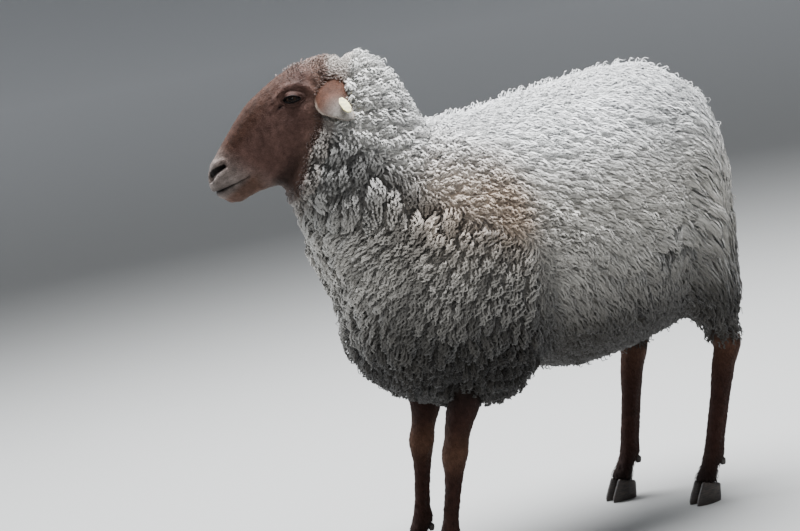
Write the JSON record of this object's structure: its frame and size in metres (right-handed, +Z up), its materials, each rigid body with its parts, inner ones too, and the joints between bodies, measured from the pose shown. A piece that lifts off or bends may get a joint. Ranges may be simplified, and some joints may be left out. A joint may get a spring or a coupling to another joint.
{
  "type": "sheep",
  "caption": "Life-size standing sheep in full fleece, hornless and long-tailed, with a red-brown head held up and turned aside, hanging ears, brown legs and a plain ear tag.",
  "frame": {"origin": "on the floor, under the middle of the model's box", "axes": "+Z up; the animal looks along -X and its left side is towards -Y"},
  "size_m": [1.0508, 0.48, 0.9774],
  "materials": {
    "fleece": "curly wool in locks",
    "face_hair": "short flat hair",
    "leg_hair": "short flat hair",
    "hoof": "satin horn",
    "eye": "wet gloss",
    "tag": "satin"
  },
  "bodies": {
    "root": {"head": "face_hair", "muzzle": "face_hair", "lower_jaw": "face_hair", "eye_left": "eye", "eye_right": "eye", "ear_left": "face_hair", "ear_right": "face_hair", "ear_tag_front": "tag", "ear_tag_back": "tag", "neck": "fleece", "trunk_chest": "fleece", "trunk_barrel": "fleece", "trunk_rump": "fleece", "shoulder_left": "fleece", "shoulder_right": "fleece", "thigh_left": "fleece", "thigh_right": "fleece", "tail": "fleece", "foreleg_left_cannon": "leg_hair", "foreleg_left_pastern": "leg_hair", "foreleg_left_forearm": "leg_hair", "foreleg_left_claw_outer": "hoof", "foreleg_left_dewclaw_outer": "hoof", "foreleg_left_claw_inner": "hoof", "foreleg_left_dewclaw_inner": "hoof", "foreleg_right_cannon": "leg_hair", "foreleg_right_pastern": "leg_hair", "foreleg_right_forearm": "leg_hair", "foreleg_right_claw_outer": "hoof", "foreleg_right_dewclaw_outer": "hoof", "foreleg_right_claw_inner": "hoof", "foreleg_right_dewclaw_inner": "hoof", "hindleg_left_cannon": "leg_hair", "hindleg_left_pastern": "leg_hair", "hindleg_left_claw_outer": "hoof", "hindleg_left_dewclaw_outer": "hoof", "hindleg_left_claw_inner": "hoof", "hindleg_left_dewclaw_inner": "hoof", "hindleg_right_cannon": "leg_hair", "hindleg_right_pastern": "leg_hair", "hindleg_right_claw_outer": "hoof", "hindleg_right_dewclaw_outer": "hoof", "hindleg_right_claw_inner": "hoof", "hindleg_right_dewclaw_inner": "hoof"}
  },
  "joints": []
}
